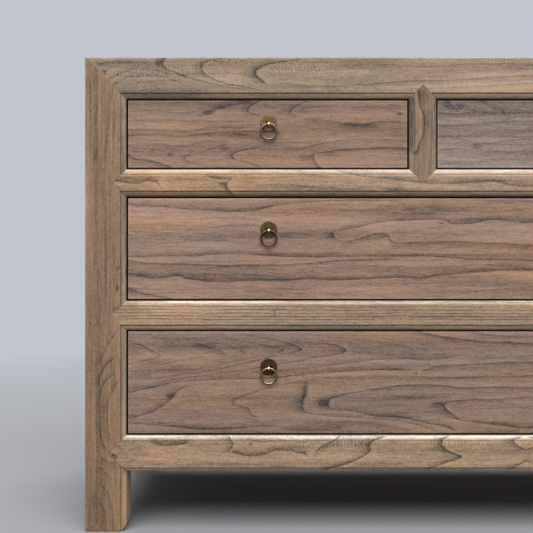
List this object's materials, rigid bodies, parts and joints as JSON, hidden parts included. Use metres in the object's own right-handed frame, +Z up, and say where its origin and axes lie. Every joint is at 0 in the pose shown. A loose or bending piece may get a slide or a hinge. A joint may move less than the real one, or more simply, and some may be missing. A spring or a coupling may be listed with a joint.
{
  "type": "chest of drawers",
  "caption": "Floor-standing reclaimed elm chest with small drawers over wide ones in a flush mitred frame, opened by hanging brass ring pulls.",
  "frame": {"origin": "on the floor, under the middle of the frame", "axes": "+Z up, +X to the right of someone facing the drawers, the drawers face -Y and slide out along -Y"},
  "size_m": [1.212, 0.4634, 0.85],
  "materials": {
    "frame_wood": "matte oiled",
    "drawer_front_wood": "matte oiled",
    "inner_wood": "bare planed",
    "brass": "aged",
    "ring_bronze": "dark aged"
  },
  "bodies": {
    "carcass": {"back_bottom_rail": "frame_wood", "back_left_post": "frame_wood", "back_muntin": "frame_wood", "back_panels": "frame_wood", "back_right_post": "frame_wood", "bottom_front_rail": "frame_wood", "centre_runner": "inner_wood", "drawer_divider": "frame_wood", "front_left_post": "frame_wood", "front_right_post": "frame_wood", "left_bottom_rail": "frame_wood", "left_side_panel": "frame_wood", "lower_side_runners": "inner_wood", "middle_front_rail": "frame_wood", "middle_side_runners": "inner_wood", "right_bottom_rail": "frame_wood", "right_side_panel": "frame_wood", "top_back_rail": "frame_wood", "top_battens": "inner_wood", "top_front_rail": "frame_wood", "top_left_rail": "frame_wood", "top_panel": "frame_wood", "top_right_rail": "frame_wood", "upper_front_rail": "frame_wood", "upper_side_runners": "inner_wood"},
    "left_drawer": {"left_drawer_back": "inner_wood", "left_drawer_bottom": "inner_wood", "left_drawer_front": "drawer_front_wood", "left_drawer_left_side": "inner_wood", "left_drawer_pull_eye": "brass", "left_drawer_pull_plate": "brass", "left_drawer_right_side": "inner_wood"},
    "left_drawer_ring": {"left_drawer_ring": "ring_bronze"},
    "lower_drawer": {"lower_drawer_back": "inner_wood", "lower_drawer_bottom": "inner_wood", "lower_drawer_front": "drawer_front_wood", "lower_drawer_left_side": "inner_wood", "lower_drawer_pull_eyes": "brass", "lower_drawer_pull_plates": "brass", "lower_drawer_right_side": "inner_wood"},
    "lower_drawer_left_ring": {"lower_drawer_left_ring": "ring_bronze"},
    "lower_drawer_right_ring": {"lower_drawer_right_ring": "ring_bronze"},
    "middle_drawer": {"middle_drawer_back": "inner_wood", "middle_drawer_bottom": "inner_wood", "middle_drawer_front": "drawer_front_wood", "middle_drawer_left_side": "inner_wood", "middle_drawer_pull_eyes": "brass", "middle_drawer_pull_plates": "brass", "middle_drawer_right_side": "inner_wood"},
    "middle_drawer_left_ring": {"middle_drawer_left_ring": "ring_bronze"},
    "middle_drawer_right_ring": {"middle_drawer_right_ring": "ring_bronze"},
    "right_drawer": {"right_drawer_back": "inner_wood", "right_drawer_bottom": "inner_wood", "right_drawer_front": "drawer_front_wood", "right_drawer_left_side": "inner_wood", "right_drawer_pull_eye": "brass", "right_drawer_pull_plate": "brass", "right_drawer_right_side": "inner_wood"},
    "right_drawer_ring": {"right_drawer_ring": "ring_bronze"}
  },
  "joints": [
    {"name": "left_drawer_slide", "type": "slide", "parent": "carcass", "child": "left_drawer", "axis": [0, -1, 0], "range_m": [0, 0.3]},
    {"name": "left_drawer_ring_swing", "type": "hinge", "parent": "left_drawer", "child": "left_drawer_ring", "pos_m": [-0.2765, -0.2296, 0.7303], "axis": [-1, 0, 0], "range_deg": [-7, 187]},
    {"name": "right_drawer_slide", "type": "slide", "parent": "carcass", "child": "right_drawer", "axis": [0, -1, 0], "range_m": [0, 0.3]},
    {"name": "right_drawer_ring_swing", "type": "hinge", "parent": "right_drawer", "child": "right_drawer_ring", "pos_m": [0.2765, -0.2296, 0.7303], "axis": [-1, 0, 0], "range_deg": [-7, 187]},
    {"name": "middle_drawer_slide", "type": "slide", "parent": "carcass", "child": "middle_drawer", "axis": [0, -1, 0], "range_m": [0, 0.3]},
    {"name": "middle_drawer_left_ring_swing", "type": "hinge", "parent": "middle_drawer", "child": "middle_drawer_left_ring", "pos_m": [-0.2765, -0.2296, 0.5393], "axis": [-1, 0, 0], "range_deg": [-7, 187]},
    {"name": "middle_drawer_right_ring_swing", "type": "hinge", "parent": "middle_drawer", "child": "middle_drawer_right_ring", "pos_m": [0.2765, -0.2296, 0.5393], "axis": [-1, 0, 0], "range_deg": [-7, 187]},
    {"name": "lower_drawer_slide", "type": "slide", "parent": "carcass", "child": "lower_drawer", "axis": [0, -1, 0], "range_m": [0, 0.3]},
    {"name": "lower_drawer_left_ring_swing", "type": "hinge", "parent": "lower_drawer", "child": "lower_drawer_left_ring", "pos_m": [-0.2765, -0.2296, 0.2923], "axis": [-1, 0, 0], "range_deg": [-7, 187]},
    {"name": "lower_drawer_right_ring_swing", "type": "hinge", "parent": "lower_drawer", "child": "lower_drawer_right_ring", "pos_m": [0.2765, -0.2296, 0.2923], "axis": [-1, 0, 0], "range_deg": [-7, 187]}
  ]
}
